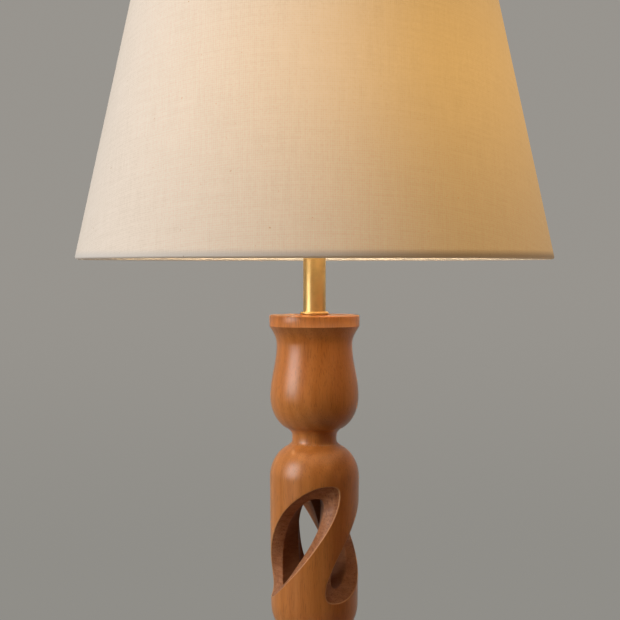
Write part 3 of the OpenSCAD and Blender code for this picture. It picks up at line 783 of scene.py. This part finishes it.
def outer_face(g):
    """1 on the cloth's outer face, 0 on its inner one."""
    away = g.vector("SUBTRACT", g.coords(), tuple(GLOBE))
    outward = g.vector("NORMALIZE", g.vector("MULTIPLY", away, (1, 1, 0)))
    surface = g.node("ShaderNodeTexCoord").outputs["Normal"]
    return g.range(g.vector("DOT_PRODUCT", surface, outward), -0.3, 0.5)


def linen():
    g = Graph("linen_weave_painted_glow")
    threads, speck = weave(g)
    height = g.split(g.coords())["Z"]
    off_hem = g.range(height, SHADE_Z + 2 * MM, SHADE_Z + 6 * MM, 0.1, 1.0)
    threads = g.math("MULTIPLY_ADD", g.math("SUBTRACT", threads, 0.5), off_hem, 0.5)
    cloud = g.noise(g.coords(), 14.0, 3.0, 0.5)
    colour = g.ramp(g.math("MULTIPLY_ADD", cloud, 0.10, threads), (0.35, rgb(0.69, 0.66, 0.61)),
                    (0.55, rgb(0.755, 0.73, 0.69)), (0.75, rgb(0.80, 0.78, 0.745)))
    colour = g.mix(g.math("MULTIPLY", speck, 0.6), colour, rgb(0.34, 0.25, 0.16))
    glow = painted_glow_through(g)
    # thinner places in the weave let more of the painted glow out
    thin = g.ramp(threads, (0.36, 0.93), (0.64, 1.06))
    # painted glow: the doubled hem lets less of it out, while the cloth's inner face is painted the brightest
    # cloth there is
    outside = outer_face(g)
    hem = g.range(height, SHADE_Z + 2.5 * MM, SHADE_Z + 7 * MM, 0.35, 1.0)
    lit = g.node("ShaderNodeMix", i0=outside, i2=0.95, i3=hem).outputs[0]
    strength = g.math("MULTIPLY", g.math("MULTIPLY", glow, thin), lit)
    # colour of the painted glow, paler on the cloth's inner face
    warm = g.ramp(g.math("MULTIPLY", glow, 0.7), (0.30, rgb(1.0, 0.59, 0.22)), (0.80, rgb(1.0, 0.545, 0.14)))
    warm = g.mix(outside, rgb(1.0, 0.76, 0.48), warm)
    normal = g.bump(threads, 0.25, 0.0005)
    return g.finish(Base_Color=colour, Roughness=0.92, Sheen_Weight=0.15, Sheen_Roughness=0.5, Normal=normal,
                    Specular_IOR_Level=0.2, Emission_Color=warm,
                    Emission_Strength=g.math("MULTIPLY", strength, LINEN_GLOW))


def lit_globe():
    g = Graph("opal_glass_lit")
    height = g.split(g.coords())["Z"]
    even = g.range(height, GLOBE.z - 0.06, GLOBE.z + 0.02, 0.35, 1.0)
    return g.finish(Base_Color=rgb(0.9, 0.84, 0.74), Roughness=0.25, Emission_Color=rgb(1.0, 0.80, 0.56),
                    Emission_Strength=g.math("MULTIPLY", even, BULB_POWER))


LINEN_GLOW = 0.52
BULB_POWER = 34.0

SLOTS = {
    "wood": wood("wood_satin"),
    "brass": brushed("brass_satin", rgb(0.97, 0.68, 0.28), 0.29, 0.16, 0.20),
    "steel": brushed("steel_zinc", rgb(0.60, 0.60, 0.58), 0.28, 0.12),
    "nickel": brushed("nickel_plate", rgb(0.70, 0.66, 0.60), 0.12, 0.10),
    "iron": grainy("iron_cast", rgb(0.035, 0.035, 0.037), rgb(0.09, 0.088, 0.086), 420.0, 0.72, 0.5, 0.0006,
                   Metallic=0.6),
    "felt": grainy("felt_green", rgb(0.016, 0.026, 0.018), rgb(0.035, 0.050, 0.036), 900.0, 0.96, 0.6, 0.0007,
                   Sheen_Weight=0.4),
    "painted_wire": grainy("wire_enamel", rgb(0.76, 0.72, 0.64), rgb(0.84, 0.80, 0.72), 160.0, 0.38, 0.06),
    "bakelite": grainy("bakelite_brown", rgb(0.022, 0.012, 0.008), rgb(0.045, 0.022, 0.013), 120.0, 0.24,
                       0.05),
    "ceramic_white": grainy("ceramic_glazed", rgb(0.74, 0.70, 0.62), rgb(0.82, 0.79, 0.72), 80.0, 0.2, 0.04),
    "card": grainy("card_tube", rgb(0.30, 0.20, 0.11), rgb(0.44, 0.32, 0.19), 700.0, 0.88, 0.3),
    "lead_sleeve": grainy("lead_sleeve", rgb(0.50, 0.36, 0.13), rgb(0.62, 0.46, 0.19), 500.0, 0.46, 0.1),
    "clear_glass": grainy("glass_frosted", rgb(0.80, 0.82, 0.82), rgb(0.90, 0.92, 0.92), 60.0, 0.12, 0.02,
                          Transmission_Weight=0.9, IOR=1.5),
    "opal_glass": lit_globe(),
    "liner": grainy("liner_styrene", rgb(0.80, 0.76, 0.68), rgb(0.86, 0.82, 0.75), 40.0, 0.5, 0.03),
    "linen": linen(),
}
CARVED = wood("wood_carved_painted_shade", carved=True)

for part in frame["record"]["subparts"]:
    dress(frame["nodes"][part["node"]], SLOTS[part["material_slot"]])

REPLACED = (
    (carved_barrel, "lamp", "wood", "twist_barrel", CARVED),
    (turned_vase, "lamp", "wood", "upper_vase", SLOTS["wood"]),
    (turned_foot, "lamp", "wood", "foot", SLOTS["wood"]),
    (turned_base, "lamp", "wood", "base_disc", SLOTS["wood"]),
    (blown_globe, "bulb_envelope", "opal_glass", "bulb_glass", SLOTS["opal_glass"]),
    (stiff_liner, "shade", "liner", "shade_liner", SLOTS["liner"]),
    (linen_cover, "shade", "linen", "shade_cover", SLOTS["linen"]),
)
for build, body, slot, node, material in REPLACED:
    place(dress(build(), material), body, slot, node)
for half in bent_harp():
    place(dress(half, SLOTS["brass"]), "lamp", "brass", "harp_loop")


# ---- Surroundings, light and camera ----


FLOOR_R = 0.44
FADE_R = 0.22


def floor():
    """A round patch of table that fades out towards its edge."""
    g = Graph("floor_fading")
    fade = g.range(g.vector("LENGTH", g.coords()), FADE_R, FLOOR_R, 1.0, 0.0)
    disc = lathe("floor", [(FLOOR_R, 0.0), (0.0002, 0.0)], 96, closed=False)
    dress(disc, g.finish(Base_Color=rgb(0.42, 0.40, 0.37), Roughness=0.8, Alpha=fade))


def surroundings():
    """A pale wall behind the lamp, a little darker lower down, and a dim room in front of it."""
    world = bpy.data.worlds.new("room")
    bpy.context.scene.world = world
    world.use_nodes = True
    tree = world.node_tree
    tree.nodes.clear()

    def blend(value, start, end, low_colour, high_colour):
        span = tree.nodes.new("ShaderNodeMapRange")
        span.interpolation_type = "SMOOTHSTEP"
        span.inputs["From Min"].default_value = start
        span.inputs["From Max"].default_value = end
        tree.links.new(value, span.inputs["Value"])
        mix = tree.nodes.new("ShaderNodeMix")
        mix.data_type = "RGBA"
        tree.links.new(span.outputs[0], mix.inputs[0])
        for slot, colour in ((mix.inputs[6], low_colour), (mix.inputs[7], high_colour)):
            if isinstance(colour, tuple):
                slot.default_value = colour
            else:
                tree.links.new(colour, slot)
        return mix.outputs[2]

    ray = tree.nodes.new("ShaderNodeTexCoord")
    part = tree.nodes.new("ShaderNodeSeparateXYZ")
    tree.links.new(ray.outputs["Generated"], part.inputs[0])
    wall = blend(part.outputs["Z"], -0.20, 0.0, rgb(0.279, 0.270, 0.248), rgb(0.314, 0.298, 0.273))
    colour = blend(part.outputs["Y"], -0.2, 0.75, rgb(0.046, 0.031, 0.021), wall)
    back = tree.nodes.new("ShaderNodeBackground")
    out = tree.nodes.new("ShaderNodeOutputWorld")
    tree.links.new(colour, back.inputs["Color"])
    tree.links.new(back.outputs[0], out.inputs[0])


def area_light(name, place_at, aim, size, power, colour):
    data = bpy.data.lights.new(name, "AREA")
    data.shape = "RECTANGLE"
    data.size, data.size_y = size
    data.energy = power
    data.color = colour
    lamp = bpy.data.objects.new(name, data)
    lamp.location = place_at
    lamp.rotation_euler = (Vector(aim) - Vector(place_at)).to_track_quat("-Z", "Y").to_euler()
    bpy.context.scene.collection.objects.link(lamp)


def camera():
    data = bpy.data.cameras.new("camera")
    data.lens = 87.1
    data.sensor_width = 36
    data.clip_start = 0.05
    eye = bpy.data.objects.new("camera", data)
    eye.location = (0, -1.265, 0.401)
    eye.rotation_euler = (math.radians(90 - 1.58), 0, math.radians(0.17))
    bpy.context.scene.collection.objects.link(eye)
    bpy.context.scene.camera = eye


floor()
surroundings()
area_light("window", (-1.71, -0.89, 0.95), (0, 0, 0.38), (1.0, 1.3), 27.5, (1.0, 0.99, 0.985))
area_light("room_fill", (1.3, -0.7, 0.5), (0, 0, 0.3), (0.7, 1.0), 1.2, (1.0, 0.50, 0.28))
camera()
bpy.context.scene.view_settings.view_transform = "Standard"
bpy.context.scene.view_settings.look = "None"
